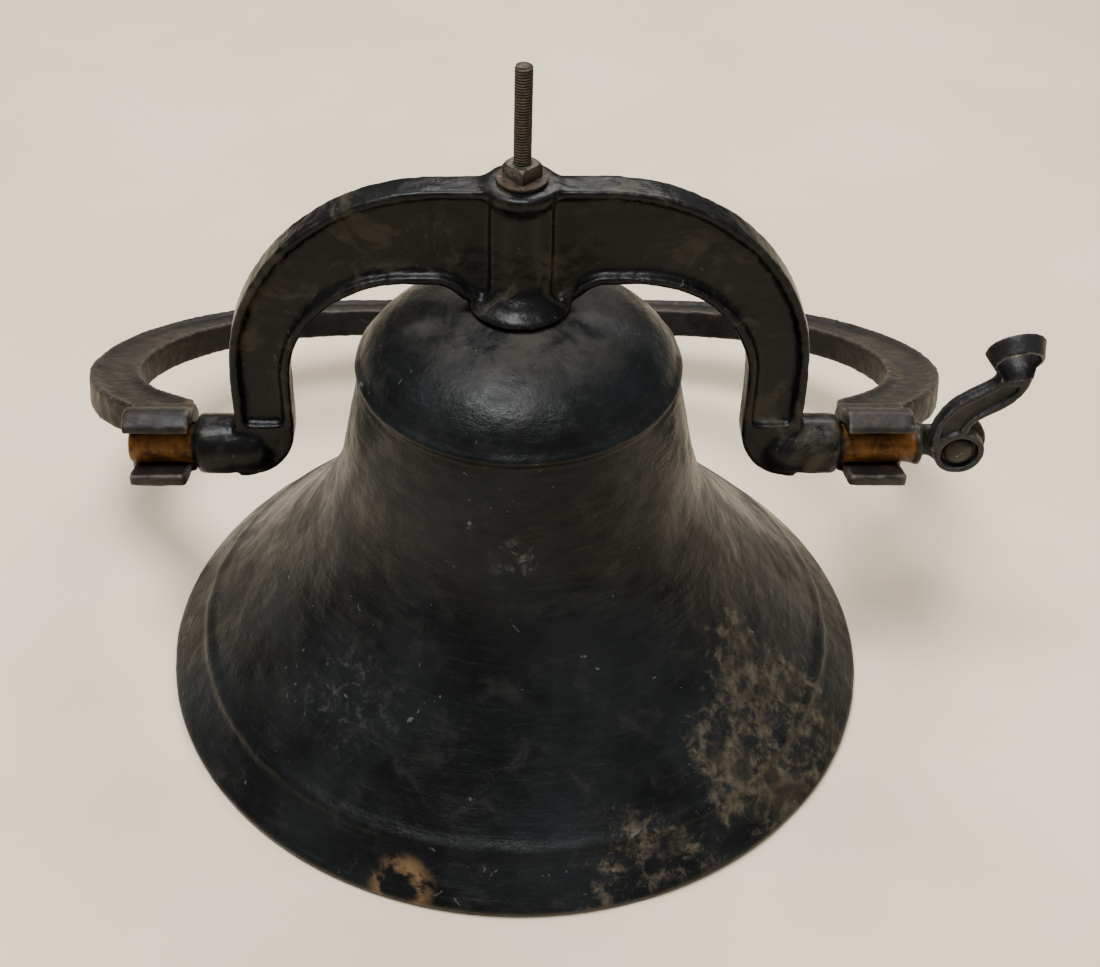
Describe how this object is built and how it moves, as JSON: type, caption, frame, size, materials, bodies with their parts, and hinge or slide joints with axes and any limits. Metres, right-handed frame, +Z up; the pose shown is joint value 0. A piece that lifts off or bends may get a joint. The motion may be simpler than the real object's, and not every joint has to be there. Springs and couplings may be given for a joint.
{
  "type": "yard dinner bell",
  "caption": "Cast yard bell with an arched yoke, hinged clapper, folding U-shaped cradle with bearing slots and a rope lever.",
  "frame": {"origin": "centre of the bell's mouth, on the plane that the mouth rim rests on", "axes": "+Z up along the bell's axis, +X along the trunnions towards the rope lever, +Y towards the folded cradle"},
  "size_m": [0.6625, 0.642, 0.4699],
  "materials": {
    "bell_iron": "brushed satin black paint over rough cast iron, with rust and dirt",
    "yoke_iron": "glossy black paint over cast iron, grimy in the corners",
    "cradle_iron": "worn dark brown-grey iron with old black paint",
    "rusty_steel": "dull rust brown",
    "dark_nut": "oily dark steel",
    "clapper_iron": "bare rusty iron",
    "lever_iron": "worn black paint, grey on the ridges"
  },
  "bodies": {
    "bell": {"bell": "bell_iron", "yoke": "yoke_iron", "hanger_stud": "rusty_steel", "hanger_nut": "dark_nut", "top_washer": "rusty_steel", "crown_washer": "rusty_steel", "crown_nut": "dark_nut", "clevis_lock_nut": "dark_nut", "clapper_clevis": "clapper_iron", "clapper_pin": "rusty_steel", "clapper_cotter": "rusty_steel", "lever_bolt": "dark_nut", "lever_washer": "rusty_steel", "lever_nut": "dark_nut"},
    "cradle": {"cradle": "cradle_iron"},
    "clapper": {"clapper_shank": "clapper_iron", "clapper_ball": "clapper_iron"},
    "lever": {"rope_lever": "lever_iron"}
  },
  "joints": [
    {"name": "cradle_swing", "type": "hinge", "parent": "bell", "child": "cradle", "pos_m": [0, 0, 0.189], "axis": [1, 0, 0], "continuous": true},
    {"name": "clapper_swing", "type": "hinge", "parent": "bell", "child": "clapper", "pos_m": [0, 0, 0.2406], "axis": [1, 0, 0], "range_deg": [-36, 36]},
    {"name": "lever_angle", "type": "hinge", "parent": "bell", "child": "lever", "pos_m": [0.297, 0, 0.189], "axis": [0, 1, 0], "range_deg": [-5, 100]}
  ]
}
